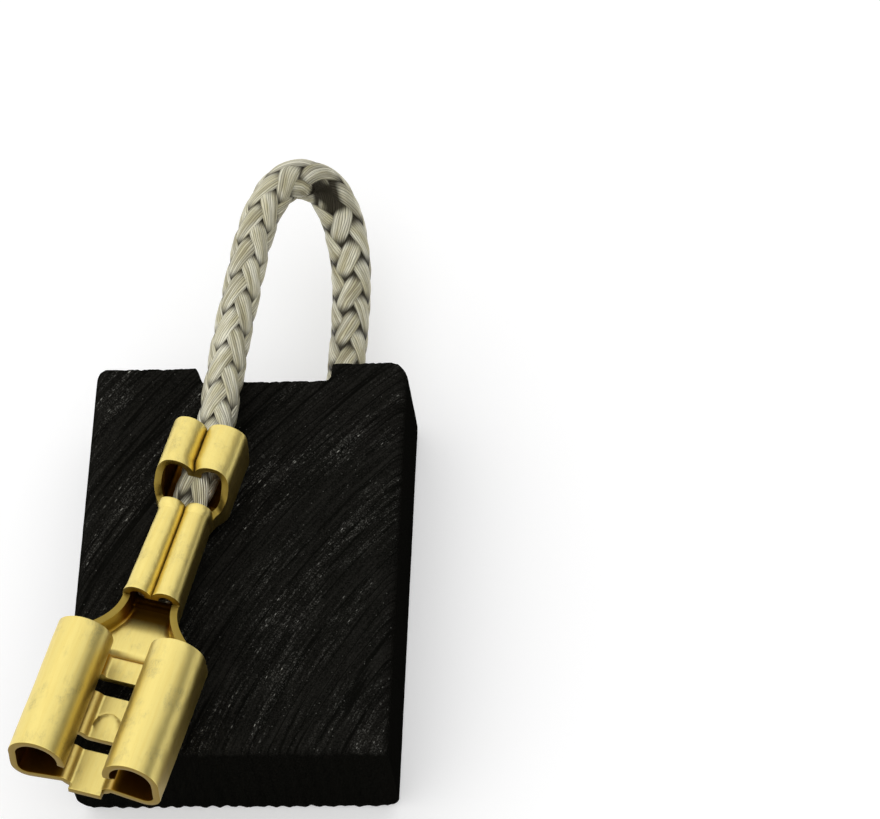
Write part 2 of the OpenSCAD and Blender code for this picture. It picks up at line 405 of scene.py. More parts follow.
    def finish(self, **inputs: Feed) -> bpy.types.Material:
        """Set or link the shader's own sockets.

        Args:
            **inputs: Values by the sockets' names, with underscores for spaces.

        Returns:
            The finished material.
        """
        for key, value in inputs.items():
            self.feed(self.shader.inputs[key.replace("_", " ")], value)
        return self.material


@dataclass(frozen=True)
class GroundCarbon:
    """Pressed carbon-graphite, with curved grinding marks and pale grains on its two large faces, whose
    lighter marks and specks are partly painted sheen and glints.
    """

    base: Colour = linear("0a0a08")
    bright: Colour = linear("23221f")
    speck: Colour = linear("a3a29a")
    side: Colour = linear("080806")
    centre: tuple[float, float] = (0.036, -0.024)  # middle of the grinding arcs, in metres
    reach: float = 25.0  # millimetres of arc for each radian
    top_face: tuple[float, float] = (0.0058, 0.0062)
    under_face: tuple[float, float] = (0.0006, 0.0001)
    furrow: Mottle = Mottle((1.5, 0.05, 0.3), 2, 0.45, 0.25)
    lay: Mottle = Mottle((5.5, 0.55, 0.5), 3, 0.6, 0.3)
    patch: Mottle = Mottle((0.55, 0.22, 0.3))
    dust_and_glint: Point = (11.0, 6.5, 11.0)
    grain: float = 15000.0
    fleck: float = 9000.0
    relief: float = 0.00003

    def arcs(self, g: Graph, axes: Sequence[bpy.types.NodeSocket]) -> bpy.types.NodeSocket:
        """Lay coordinates along the grinding arcs.

        Args:
            g: Graph of the material.
            axes: The piece's own coordinates, in metres.

        Returns:
            Radius, way along the arc and height, in millimetres.
        """
        x, y = (g.minus(axes[i], self.centre[i]) for i in (0, 1))
        radius = g.calc("SQRT", g.plus(g.calc("POWER", x, 2.0), g.calc("POWER", y, 2.0)))
        along = g.times(g.calc("ARCTAN2", y, x), self.reach)
        made = g.node("ShaderNodeCombineXYZ")
        for socket, value in zip(made.inputs, (g.times(radius, 1 / MM), along, g.times(axes[2], 1 / MM))):
            g.feed(socket, value)
        return made.outputs[0]

    def specks(self, g: Graph, lines: bpy.types.NodeSocket, lay: bpy.types.NodeSocket,
               grain: bpy.types.NodeSocket) -> bpy.types.NodeSocket:
        """Scatter pale specks along the arcs, and single flecks all over: partly pale dust and grains, partly
        painted glints of graphite.

        Args:
            g: Graph of the material.
            lines: Coordinates along the arcs.
            lay: Fine lines of the grinding.
            grain: Grain of the carbon.

        Returns:
            How pale each place is, between 0 and 1.
        """
        away, chance = g.grains(g.placed(lines, self.dust_and_glint), 1.0)
        dust_and_glint = g.times(g.ramp(away, 0.45, 0.2), g.ramp(chance, 0.7, 0.95))
        heap = g.times(g.ramp(g.mottle(lines, self.patch), 0.44, 0.62), g.ramp(lay, 0.46, 0.58))
        away, chance = g.grains(g.space, self.fleck)
        fleck = g.times(g.ramp(away, 0.35, 0.15), g.ramp(chance, 0.82, 0.95))
        wisp = g.times(g.ramp(grain, 0.52, 0.68), g.times(heap, 0.19))
        return g.most(g.times(g.times(dust_and_glint, heap), 0.9), g.most(wisp, g.times(fleck, 0.2)))

    def build(self, name: str) -> bpy.types.Material:
        """Make the material.

        Args:
            name: Name of the material.

        Returns:
            The finished material.
        """
        g = Graph(name)
        axes = g.split(g.space)
        lines = self.arcs(g, axes)
        face = g.most(g.ramp(axes[2], *self.top_face), g.ramp(axes[2], *self.under_face))
        furrow = g.calc("ABSOLUTE", g.minus(g.mottle(lines, self.furrow), 0.5))
        furrow = g.ramp(furrow, 0.03, 0.006)
        lay = g.mottle(lines, self.lay)
        grain = g.cloud(g.space, self.grain, 2, 0.8)
        # The lighter tone along the grinding lay is partly the carbon's own grain and partly painted sheen
        # that stands in for glints, as the shader has no specular.
        tone = g.calc("ADD", g.ramp(lay, 0.38, 0.7, 0.0, 0.4), g.ramp(grain, 0.36, 0.72, 0.0, 0.75), True)
        tone = g.times(tone, g.minus(1.0, g.times(furrow, 0.8)))
        ground = g.blend(tone, self.base, self.bright)
        # Pale specks, partly dust and grains and partly painted glints of graphite.
        ground = g.blend(g.times(self.specks(g, lines, lay, grain), face), ground, self.speck)
        plain = g.blend(g.ramp(grain, 0.36, 0.72, 0.0, 0.5), self.side, self.bright)
        height = g.plus(g.times(g.minus(lay, furrow), face), g.times(grain, 0.6))
        return g.finish(Base_Color=g.blend(face, plain, ground), Metallic=0.0, Specular_IOR_Level=0.0,
                        Roughness=0.7, Normal=g.bump(height, self.relief, 0.6))


@dataclass(frozen=True)
class TampedPowder:
    """Dull pressed metal and graphite powder."""

    dark: Colour = linear("2a2928")
    pale: Colour = linear("77706a")
    grain: float = 9000.0
    heap: float = 2500.0
    relief: float = 0.00004

    def build(self, name: str) -> bpy.types.Material:
        """Make the material.

        Args:
            name: Name of the material.

        Returns:
            The finished material.
        """
        g = Graph(name)
        grains = g.grains(g.space, self.grain)[0]
        tone = g.times(g.ramp(grains, 0.45, 0.1), g.ramp(g.cloud(g.space, self.heap, 4, 0.7), 0.35, 0.7))
        return g.finish(Base_Color=g.blend(tone, self.dark, self.pale), Roughness=0.8, Metallic=0.2,
                        Normal=g.bump(grains, self.relief))


@dataclass(frozen=True)
class TinnedBraid:
    """Fine tinned copper wires, pale grey with a warm cast, with painted shade between the wires and in the
    crossings.
    """

    pale: Colour = linear("e6e3cf")
    warm: Colour = linear("c2bb98")
    # Darker wire tone; it is also the colour of the painted shade between and under the wires.
    deep: Colour = linear("5a5036")
    wires: int = 10
    sway: Mottle = Mottle((2.2, 0.5, 1), 2, 0.5)
    patches: Mottle = Mottle((3.0, 0.5, 1))
    relief: float = 0.00004

    def build(self, name: str) -> bpy.types.Material:
        """Make the material, which reads the bundle's own coordinates and the painted shade stored on its
        points.

        Args:
            name: Name of the material.

        Returns:
            The finished material.
        """
        g = Graph(name)
        uv = g.layer("strand")
        sway = g.minus(g.mottle(uv, self.sway), 0.5)
        wire = g.times(g.plus(g.split(uv)[0], g.times(sway, 0.25)), float(self.wires))
        crown = g.calc("ABSOLUTE", g.calc("SINE", g.times(wire, math.pi)))
        chance = g.node("ShaderNodeTexWhiteNoise", noise_dimensions="1D")
        g.feed(chance.inputs["W"], g.calc("FLOOR", wire))
        colour = g.blend(g.ramp(g.mottle(uv, self.patches), 0.32, 0.68), self.pale, self.warm)
        colour = g.blend(g.times(g.ramp(chance.outputs["Value"], 0.4, 1.0), 0.42), colour, self.deep)
        # Painted shade in the valleys between the wires.
        colour = g.blend(g.ramp(crown, 0.5, 0.02, 0.0, 0.72), colour, self.deep)
        # Painted shade from the points' depth value, near black where bundles dive under the others.
        colour = g.blend(g.ramp(g.painted("depth"), 0.86, 0.44, 0.0, 0.98), colour, dimmed(self.deep, 0.25))
        return g.finish(Base_Color=colour, Metallic=0.6, Roughness=0.42,
                        Normal=g.bump(crown, self.relief, 0.7))


@dataclass(frozen=True)
class SatinBrass:
    """Bright rolled brass strip with streaks along it, smudges and sheared edges, with painted shade on its
    flanks and, on inner faces, in its hollows.
    """

    gold: Colour = linear("efdc88")
    deep: Colour = linear("d9b02c")
    painted_flank_shade: Colour = linear("7d5e08")
    smudge: Colour = linear("b0a36e")
    shear: Colour = linear("7d651a")
    painted_shade_amber: Colour = linear("b07c12")
    painted_shade_brown: Colour = linear("6e4506")
    flank_shade_share: float = 0.66
    crimped: tuple[float, float] = (9.8, 10.6)  # where the dented barrels begin, along the strip
    dents: Mottle = Mottle((2.2, 1.5, 1))
    streak: Mottle = Mottle((7, 0.25, 1), 4)
    fine: Mottle = Mottle((30, 2.5, 1))
    blotch: Mottle = Mottle((1.1, 0.6, 1), 4)
    flecks: Mottle = Mottle((14, 6, 1), 4, 0.7)
    pits: Mottle = Mottle((20, 11, 1), 5, 0.7, shift=(3.1, 7.7, 0))
    dent_depth: float = 0.00008
    streak_depth: float = 0.00001
    inside: bool = False
    sheared: bool = False

    def build(self, name: str) -> bpy.types.Material:
        """Make the material, which reads the flat strip's own coordinates and, on inner faces, the painted
        shade stored on its points.

        Args:
            name: Name of the material.

        Returns:
            The finished material.
        """
        g = Graph(name)
        uv = g.layer("strip")
        crimped = g.ramp(g.split(uv)[1], *self.crimped)
        streak, fine = g.mottle(uv, self.streak), g.mottle(uv, self.fine)
        colour = g.blend(g.ramp(streak, 0.4, 0.75, 0.0, 0.16), self.gold, self.deep)
        rubbed = g.times(g.ramp(g.mottle(uv, self.blotch), 0.5, 0.7),
                         g.ramp(g.mottle(uv, self.flecks), 0.35, 0.7, 0.15, 0.6))
        colour = g.blend(rubbed, colour, self.smudge)
        pits = g.times(g.ramp(g.mottle(uv, self.pits), 0.62, 0.72), g.plus(g.times(crimped, 0.35), 0.3))
        colour = g.blend(pits, colour, dimmed(self.smudge, 0.3))
        # Painted shade: faces that turn away from overhead are darkened towards a deep brown-gold.
        upward = g.split(g.node("ShaderNodeNewGeometry").outputs["Normal"])[2]
        colour = g.blend(g.ramp(upward, 0.5, 0.05, 0.0, self.flank_shade_share), colour, self.painted_flank_shade)
        # Painted shade on the inner faces: amber where slight, brown deep in the rolls and barrels.
        if self.inside:
            hollow = g.painted("hollow")
            colour = g.blend(g.ramp(hollow, 0.0, 0.4, 0.0, 0.95), colour, self.painted_shade_amber)
            colour = g.blend(g.ramp(hollow, 0.3, 1.0, 0.0, 0.97), colour, self.painted_shade_brown)
        # Cut edges are duller brass, and their darker colour is partly painted shade.
        if self.sheared:
            colour = g.blend(0.85, colour, self.shear)
        dents = g.bump(g.times(g.mottle(uv, self.dents), crimped), self.dent_depth, 0.35)
        return g.finish(Base_Color=colour, Metallic=1.0, Roughness=g.ramp(fine, 0.3, 0.7, 0.37, 0.47),
                        Normal=g.bump(g.plus(g.times(fine, 0.5), streak), self.streak_depth, 0.2, dents))


@dataclass(frozen=True)
class PaleFloor:
    """White studio floor that keeps the brush's shadow."""

    shade: Colour = (0.72, 0.72, 0.72)
    glow: Colour = (1.0, 1.0, 1.0)
    lift: float = 0.34

    def build(self, name: str) -> bpy.types.Material:
        """Make the material, which is white for the camera, for metal and for glass.

        Args:
            name: Name of the material.

        Returns:
            The finished material.
        """
        g = Graph(name)
        ray = g.node("ShaderNodeLightPath").outputs
        seen = g.most(ray["Is Camera Ray"], g.most(ray["Is Glossy Ray"], ray["Is Transmission Ray"]))
        return g.finish(Base_Color=self.shade, Roughness=0.9, Specular_IOR_Level=0.1,
                        Emission_Color=self.glow, Emission_Strength=g.times(seen, self.lift))


# ---- Lead -------------------------------------------------------------------------


@dataclass
class BraidedLead:
    """Round braid of fine wires, from the hole in the block to the crimp. Sizes are in millimetres."""

    route: Sequence[Point] = (
        (4.4, 11, 3.15), (4.4, 12.8, 3.15), (4.45, 14.6, 3.15), (4.45, 16.4, 3.2), (4.4, 18.2, 3.45),
        (4.2, 19.8, 3.95), (3.85, 21.15, 4.65), (3.3, 22.05, 5.5), (2.5, 22.45, 6.25),
        (1.65, 22.2, 6.9), (0.85, 21.35, 7.4), (0.25, 19.95, 7.65), (-0.15, 18.2, 7.8),
        (-0.4, 16.3, 7.9), (-0.65, 14.2, 7.95), (-0.9, 12.2, 7.95), (-1.1, 10.2, 7.9),
        (-1.3, 8.2, 7.85), (-1.5, 6.2, 7.8),
    )
    tail: Sequence[Point] = ()  # middle of the lead inside the barrels
    pressed: Sequence[float] = (0.0, 0.0, 1.0)  # direction in which the crimp flattens the braid
    hidden: float = 1.35
    diameter: float = 1.94
    lay: float = 12.7  # length in which a bundle goes once round
    carriers: int = 6  # bundles that wind each way
    columns: tuple[int, int] = (12, 4)  # faces over and under a bundle
    half_bundle: float = 0.5
    thick: float = 0.15
    fullness: float = 2.4  # how square the section of a bundle is
    hollow: float = 0.06  # depth of a bundle's underside
    core: float = 0.06  # height at which a bundle's width is measured
    rise: float = 0.075
    snap: float = 1.35  # how suddenly a bundle goes over and under
    nest: float = 0.02
    ripple: float = 0.02
    loose: float = 0.1
    spread: float = 0.06  # by how much a bundle is wider on top
    stray: float = 0.05
    phase: float = 0.04
    twist: float = -0.045
    twisted: tuple[float, float] = (8, 22)
    bend: tuple[float, float, float] = (0.29, 0.1, 0.14)  # share of the run, reach, widening
    kink: tuple[float, float, float] = (13.3, 0.742, 0.42)  # run, turn, depth
    kink_size: tuple[float, float] = (0.95, 0.085)  # run, turn
    crimp_start: float = 6.9  # counted from the end of the lead
    crimp_fade: float = 1.3
    crimped: tuple[float, float] = (0.97, 0.52)  # width and height left by the crimp
    hole_shade: tuple[float, float, float] = (15.5, 10.0, 0.12)  # from, to, by
    crimp_shade: tuple[float, float] = (4.5, 0.3)  # to, by
    step: float = 0.15
    fine: int = 20  # points of the curve between two points of the route
    seed: int = 7
    run: float = 0.0
    line: list[Vector] = field(default_factory=list)
    frames: list[tuple[Vector, Vector, Vector]] = field(default_factory=list)

    def curve(self) -> list[Vector]:
        """Draw a smooth curve through the route and the barrels.

        Returns:
            Close points on the curve.
        """
        loop = [Vector(p) for p in self.route]
        drift = (Vector(self.tail[0]) - loop[-1]) / (len(loop) - 1)
        points = ([loop[0] - Vector((0, self.hidden, 0))] + [p + drift * i for i, p in enumerate(loop)]
                  + [Vector(p) for p in self.tail[1:]])
        dense: list[Vector] = []
        for i in range(len(points) - 1):
            before, a, b = points[max(0, i - 1)], points[i], points[i + 1]
            after = points[min(len(points) - 1, i + 2)]
            for k in range(self.fine):
                t = k / self.fine
                dense.append(0.5 * (2 * a + (b - before) * t + (2 * before - 5 * a + 4 * b - after) * t * t
                                    + (3 * a - before - 3 * b + after) * t ** 3))
        return dense + [points[-1]]

    def settle(self) -> None:
        """Lay the middle line in even steps and carry a frame along it."""
        dense = self.curve()
        lengths = [0.0]
        for a, b in zip(dense, dense[1:]):
            lengths.append(lengths[-1] + (b - a).length)
        self.run = lengths[-1]
        count = int(self.run / self.step)
        at = 0
        for i in range(count + 1):
            want = self.run * i / count
            while at < len(lengths) - 2 and lengths[at + 1] < want:
                at += 1
            share = (want - lengths[at]) / max(TINY, lengths[at + 1] - lengths[at])
            self.line.append(dense[at].lerp(dense[at + 1], share))
        across = Vector((1, 0, 0))
        for i in range(len(self.line)):
            ahead = (self.line[min(i + 1, count)] - self.line[max(i - 1, 0)]).normalized()
            across = (across - ahead * across.dot(ahead)).normalized()
            self.frames.append((across.copy(), ahead.cross(across), ahead))

    def spot(self, place: float) -> tuple[Vector, Vector, Vector]:
        """Find the cross-section at a place on the lead.

        Args:
            place: Place on the middle line, counted in steps.

        Returns:
            The middle of the lead and its two cross directions.
        """
        low = int(clamp(int(place), 0, len(self.line) - 2))
        share = clamp(place - low)
        (side, up, _), (side_after, up_after, _) = self.frames[low], self.frames[low + 1]
        middle = self.line[low].lerp(self.line[low + 1], share)
        return middle, side.lerp(side_after, share), up.lerp(up_after, share)

    def squash(self, place: float, away: Vector) -> Vector:
        """Flatten the braid in its bend and in the crimp.

        Args:
            place: Place on the middle line, counted in steps.
            away: Offset of a point from the middle line, on the round braid.

        Returns:
            The offset on the flattened braid.
        """
        share = place / (len(self.line) - 1)
        middle, reach, wider = self.bend
        side = self.frames[int(place)][0]
        away = away + side * away.dot(side) * wider * math.exp(-(((share - middle) / reach) ** 2))
        crimp = smooth(self.crimp_start, self.crimp_start - self.crimp_fade, (1 - share) * self.run)
        down = Vector(self.pressed)
        flat = away - down * away.dot(down)
        return away.lerp(flat * self.crimped[0] + down * away.dot(down) * self.crimped[1], crimp)

    def buckled(self, along: float, turn: float) -> float:
        """Tell how far the braid has sunk where the tight bend opened it.

        Args:
            along: Distance along the lead.
            turn: Place round the lead, in turns.

        Returns:
            A value between 0 and 1.
        """
        across = (turn - self.kink[1] + 0.5) % 1.0 - 0.5
        run, width = self.kink_size
        return math.exp(-(((along - self.kink[0]) / run) ** 2) - (across / width) ** 2)

    def lift(self, way: Tangle, start: int, along: float) -> float:
        """Tell how high a bundle rides over the others.

        Args:
            way: Direction in which the bundle winds.
            start: Number of the bundle among those that wind the same way.
            along: Distance along the lead.

        Returns:
            A value between -1, below a pair, and 1, above a pair.
        """
        crossing = 2 * self.carriers * along / self.lay
        quarter = crossing + 2 * start - 0.5 if way is Tangle.RIGHT else 2 * start - crossing - 2.5
        return clamp(self.snap * math.cos(math.pi / 2 * quarter), -1.0, 1.0)

    def profile(self, column: int, along: float, lane: int, turn: float) -> tuple[float, float]:
        """Give the flat section of a bundle.

        Args:
            column: Column of the bundle's grid.
            along: Distance along the lead.
            lane: Number of the bundle among all of them.
            turn: Random value of the bundle.

        Returns:
            The place across the bundle, from -1 to 1, and the height there.
        """
        crests, under = self.columns
        if column > crests:
            return 1 - 2 * (column - crests) / under, -self.hollow
        across = column / crests * 2 - 1
        ripple = self.ripple * noise.noise(Vector((across * 2.5 + turn, along * 1.1, lane)))
        return across, self.thick * (1 - abs(across) ** self.fullness) ** 0.5 + ripple

    def strand(self, way: Tangle, start: int, lane: int) -> bmesh.types.BMesh:
        """Sweep one flat bundle of wires over and under the others.

        Args:
            way: Direction in which the bundle winds.
            start: Number of the bundle among those that wind the same way.
            lane: Number of the bundle among all of them, which sets its own small faults.

        Returns:
            The bundle as a closed tube.
        """
        bm = bmesh.new()
        uv = bm.loops.layers.uv.new("strand")
        deep = bm.verts.layers.float.new("depth")
        turn = random.Random(self.seed * 100 + lane).uniform(-1, 1)
        around, total = sum(self.columns), len(self.line) - 1
        bmesh.ops.create_grid(bm, x_segments=around, y_segments=total, size=0.5)
        radius = self.diameter / 2 - self.thick - self.rise + self.nest
        slope = way.value * math.tau * radius / self.lay
        slant = (1 + slope * slope) ** 0.5
        for face in bm.faces:
            for loop in face.loops:
                loop[uv].uv = ((loop.vert.co.x + 0.5) * around / self.columns[0] + 3 * lane,
                               (loop.vert.co.y + 0.5) * total * self.step)
        for vert in bm.verts:
            row = round((vert.co.y + 0.5) * total)
            along = row * self.step
            across, out = self.profile(round((vert.co.x + 0.5) * around) % around, along, lane, turn)
            lift = self.lift(way, start, along)
            loose = 1 + self.loose * noise.noise(Vector((lane, along * 0.6, 3)))
            side = across * self.half_bundle * loose * (1 + self.spread * lift)
            place = clamp(row - slope * side / slant / self.step, 0.0, float(total))
            middle, ax, ay = self.spot(place)
            twist = self.twist * smooth(*self.twisted, along)
            angle = (math.tau * (start / self.carriers + self.phase + twist)
                     + way.value * math.tau * along / self.lay + side / slant / (radius + self.core)
                     + self.stray * noise.noise(Vector((lane * 3.7, along * 0.5, 7))))
            hole = self.buckled(along, angle / math.tau)
            away = radius + self.rise * lift + out - self.kink[2] * hole
            outward = ax * math.cos(angle) + ay * math.sin(angle)
            vert.co = (middle + self.squash(place, away * outward)) * MM
            # The depth value is painted shade: darker where the bundle dives under others, at its edges, in
            # the buckle of the bend, near the hole and near the crimp.
            start_shade, end_shade, shadow = self.hole_shade
            shadow *= smooth(start_shade, end_shade, along)
            shadow += self.crimp_shade[1] * smooth(self.crimp_start, self.crimp_shade[0], self.run - along)
            vert[deep] = clamp(0.6 + 0.4 * lift - 0.85 * abs(across) ** 7 - shadow - hole)
        return closed(bm)

    def build(self, finish: bpy.types.Material) -> bpy.types.Object:
        """Make the braid, in place of the plain tube.

        Args:
            finish: Material of the wires.

        Returns:
            The braid.
        """
        self.settle()
        bm = bmesh.new()
        for lane, (way, start) in enumerate((way, start) for way in Tangle for start in range(self.carriers)):
            bundle = new_mesh("bundle", self.strand(way, start, lane))
            bm.from_mesh(bundle)
            bpy.data.meshes.remove(bundle)
        piece = piece_object("braided_lead", bm, finish)
        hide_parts("shunt")
        return piece


# ---- Block ------------------------------------------------------------------------


class Side(Enum):
    """Sides of the block's lengthwise section, in the order in which it is walked."""

    CONTACT = "contact face"
    TOP = "top"
    LEAD = "lead end"
    UNDER = "underside"


@dataclass
class CarbonBlock:
    """Block with a fluted contact face, a grooved lead end and a tamping hole. Sizes are in millimetres."""

    width: float = 16.0
    length: float = 22.0
    height: float = 6.3
    upper_edge: float = 0.6
    lower_edge: float = 1.1
    far_corner: float = 0.55
    near_corner: float = 0.9
    groove: tuple[float, float, float] = (-2.85, 4.15, 1.0)  # left wall, right wall, depth
    groove_fillet: float = 0.4
    groove_slope: float = 0.45
    groove_wall: float = 0.03  # half of the run of a groove wall
    far_drop: float = 0.15
    flute_pitch: float = 0.7
    flute_depth: float = 0.1
    flute_fade: tuple[float, float] = (0.3, 0.7)  # distance from the block's sides
    hole: tuple[float, float, float] = (4.4, 3.15, 1.3)  # x, z, radius
    hole_end: float = 5.6
    worn: float = 0.1
    chip_reach: float = 0.35
    chip_depth: float = 0.28
    chip_scales: tuple[float, float] = (1.7, 5.5)  # coarse and fine crumbs for each millimetre
    wave_scale: float = 2.3
    unevenness: float = 0.008
    rounded: float = 1.2  # strip at each side that has closer columns
    rounded_columns: int = 10
    column_step: float = 0.0875
    ring_steps: tuple[int, int, int, int] = (20, 110, 20, 60)
    drill_faces: int = 64
    seed: float = 4.2

    @staticmethod
    def rounding(gap: float, radius: float) -> float:
        """Return how far a rounded corner falls back at a gap from the side."""
        return radius - math.sqrt(max(0.0, radius * radius - (radius - gap) ** 2)) if gap < radius else 0.0

    def columns(self) -> list[float]:
        """List the places across the block that have a section.

        Returns:
            The places, closer together at the rounded sides and the groove's walls.
        """
        half, near = self.width / 2, self.rounded_columns
        side = [half - self.rounded * (1 - math.cos(math.pi / 2 * i / near)) for i in range(near)]
        flat = self.width - 2 * self.rounded
        count = round(flat / self.column_step)
        middle = [-half + self.rounded + flat * i / count for i in range(count + 1)]
        walls = [wall + way * self.groove_wall for wall in self.groove[:2] for way in (-1, 1)]
        return sorted([-x for x in side] + middle + side + walls)

    def back(self, x: float) -> float:
        """Find the lead end, with its groove and its two lands.

        Args:
            x: Place across the block.

        Returns:
            Where the lead end lies along the block.
        """
        start, end, deep = self.groove
        land = self.length / 2
        if x < (start + end) / 2:
            land -= self.far_drop + self.rounding(x + self.width / 2, self.far_corner)
        else:
            land -= self.rounding(self.width / 2 - x, self.near_corner)
        bottom = self.length / 2 - deep + self.rounding(max(0.0, end - x), self.groove_fillet)
        inside = smooth(start - self.groove_wall, start + self.groove_slope, x)
        inside *= 1 - smooth(end - self.groove_wall, end + self.groove_wall, x)
        return mix(land, bottom, inside)

    def front(self, x: float) -> float:
        """Find the contact face, with its flutes.

        Args:
            x: Place across the block.

        Returns:
            Where the contact face lies along the block.
        """
        fade = smooth(*self.flute_fade, self.width / 2 - abs(x))
        wave = 0.5 + 0.5 * math.cos(math.tau * x / self.flute_pitch)
        depth = self.flute_depth * wave * fade * (0.85 + 0.3 * noise.noise(Vector((x, 0, 9))))
        return -self.length / 2 + depth

    def ring(self) -> list[tuple[Side, float]]:
        """Return the stations once round a lengthwise section, as a side and a share along it."""
        return [(side, i / count) for side, count in zip(Side, self.ring_steps) for i in range(count)]

    def place(self, x: float, side: Side, share: float) -> Vector:
        """Find a point of the section at x.

        Args:
            x: Place across the block.
            side: Side of the section.
            share: Share of the way along that side.

        Returns:
            The point, in millimetres.
        """
        gap = self.width / 2 - abs(x)
        low, high = self.rounding(gap, self.lower_edge), self.height - self.rounding(gap, self.upper_edge)
        front, back = self.front(x), self.back(x)
        if side in (Side.CONTACT, Side.LEAD):
            inward, y, z = ((1, front, mix(low, high, share)) if side is Side.CONTACT
                            else (-1, back, mix(high, low, share)))
            return Vector((x, y + inward * self.rounding(min(z - low, high - z), self.worn), z))
        inward, y, z = ((-1, mix(front, back, share), high) if side is Side.TOP
                        else (1, mix(back, front, share), low))
        return Vector((x, y, z + inward * self.rounding(min(abs(y - front), abs(y - back)), self.worn)))

    @staticmethod
    def wander(place: Vector) -> Vector:
        """Return a smooth random step that is the same on every run."""
        return Vector([noise.noise(place + Vector((0, 0, 7.3 * i))) for i in range(3)])

    def chipped(self, point: Vector) -> Vector:
        """Give a point the small faults of a pressed and ground block.

        Args:
            point: Point of the perfect block.

        Returns:
            The moved point, never below the surface on which the block lies.
        """
        x, y, z = point
        coarse, fine = self.chip_scales
        near = min(self.height - z, z)
        ends = min(self.length / 2 + y, abs(self.back(x) - y), self.width / 2 - abs(x))
        edge = (1 - smooth(0.0, self.chip_reach, near)) * (1 - smooth(0.0, self.chip_reach, ends))
        crumb = max(0.0, noise.noise(point * coarse + Vector((self.seed, 0, 0))) - 0.1)
        crumb += 0.5 * max(0.0, noise.noise(point * fine + Vector((0, self.seed, 0))))
        inward = Vector((-x * 0.02, -y / self.length, (self.height / 2 - z) / self.height))
        moved = point + inward * self.chip_depth * edge * crumb
        moved += self.unevenness * self.wander(point * self.wave_scale)
        moved.z = max(0.0, moved.z)
        return moved

    def build(self, finish: bpy.types.Material) -> bpy.types.Object:
        """Make the block.

        Args:
            finish: Material of the carbon.

        Returns:
            The block with its tamping hole.
        """
        columns, ring = self.columns(), self.ring()
        bm = bmesh.new()
        bmesh.ops.create_grid(bm, x_segments=len(columns) - 1, y_segments=len(ring), size=0.5)
        for vert in bm.verts:
            x = columns[round((vert.co.x + 0.5) * (len(columns) - 1))]
            side, share = ring[round((vert.co.y + 0.5) * len(ring)) % len(ring)]
            vert.co = self.chipped(self.place(x, side, share)) * MM
        piece = piece_object("fluted_block", closed(bm), finish)
        self.bore(piece)
        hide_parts("carbon_block")
        return piece

    def bore(self, piece: bpy.types.Object) -> None:
        """Cut the tamping hole into the lead end.

        Args:
            piece: The solid block; it gets a new mesh.
        """
        x, z, radius = self.hole
        deep = self.length / 2 + 1 - self.hole_end
        bm = bmesh.new()
        bmesh.ops.create_cone(bm, cap_ends=True, segments=self.drill_faces, radius1=radius, radius2=radius,
                              depth=deep, matrix=Matrix.Translation(Vector((x, self.hole_end + deep / 2, z)))
                              @ Matrix.Rotation(math.pi / 2, 4, "X"))
        bmesh.ops.scale(bm, vec=Vector((MM, MM, MM)), verts=bm.verts)
        bit = new_mesh("drill", bm)
        drill = new_object("drill", bit)
        cut = piece.modifiers.new("hole", "BOOLEAN")
        cut.operation, cut.solver, cut.object = "DIFFERENCE", "EXACT", drill
        seen = piece.evaluated_get(bpy.context.evaluated_depsgraph_get())
        old, piece.data = piece.data, bpy.data.meshes.new_from_object(seen)
        piece.modifiers.clear()
        bpy.data.objects.remove(drill)
        for mesh in (old, bit):
            bpy.data.meshes.remove(mesh)
        piece.data.name = piece.name


# ---- Terminal ---------------------------------------------------------------------


@dataclass(frozen=True)
class Lobes:
    """Section of a closed barrel with two lobes: half of its width, height, and height of its seam."""

    half: float
    top: float
    seam: float

    def toward(self, other: Lobes, share: float) -> Lobes:
        """Return the section that lies at a share of the way to another one."""
        return Lobes(mix(self.half, other.half, share), mix(self.top, other.top, share),
                     mix(self.seam, other.seam, share))

    def flared(self, flare: Lobes, share: float) -> Lobes:
        """Return the section with a share of a flare added to its sizes."""
        return Lobes(self.half + flare.half * share, self.top + flare.top * share,
                     self.seam + flare.seam * share)


@dataclass
class Section:
    """One section of the strip: the middle line from its floor to its free edge."""

    path: Path
    wall: float  # height of the edge where the strip isn't rolled or crimped
    total: list[float] = field(default_factory=lambda: [0.0])
    edge: float = 0.0  # way along the path to that height

    def __post_init__(self) -> None:
        """Measure the way along the path."""
        for (x0, z0), (x1, z1) in zip(self.path, self.path[1:]):
            self.total.append(self.total[-1] + math.hypot(x1 - x0, z1 - z0))
        self.edge = self.reach()

    def reach(self) -> float:
        """Find where the outer wall reaches the height of the edge.

        Returns:
            The way along the path to that place.
        """
        outside = 0.8 * max(x for x, _ in self.path)
        started = False
        for i in range(1, len(self.path)):
            started = started or self.path[i][0] > outside
            low, high = self.path[i - 1][1], self.path[i][1]
            if started and high >= self.wall:
                return mix(self.total[i - 1], self.total[i], clamp((self.wall - low) / max(TINY, high - low)))
        return self.total[-1]

    def at(self, way: float) -> tuple[float, float]:
        """Find a point of the path.

        Args:
            way: Length along the path.

        Returns:
            The point.
        """
        i = 0
        while i < len(self.total) - 2 and self.total[i + 1] < way:
            i += 1
        share = (way - self.total[i]) / max(TINY, self.total[i + 1] - self.total[i])
        (x0, z0), (x1, z1) = self.path[i], self.path[i + 1]
        return mix(x0, x1, share), mix(z0, z1, share)


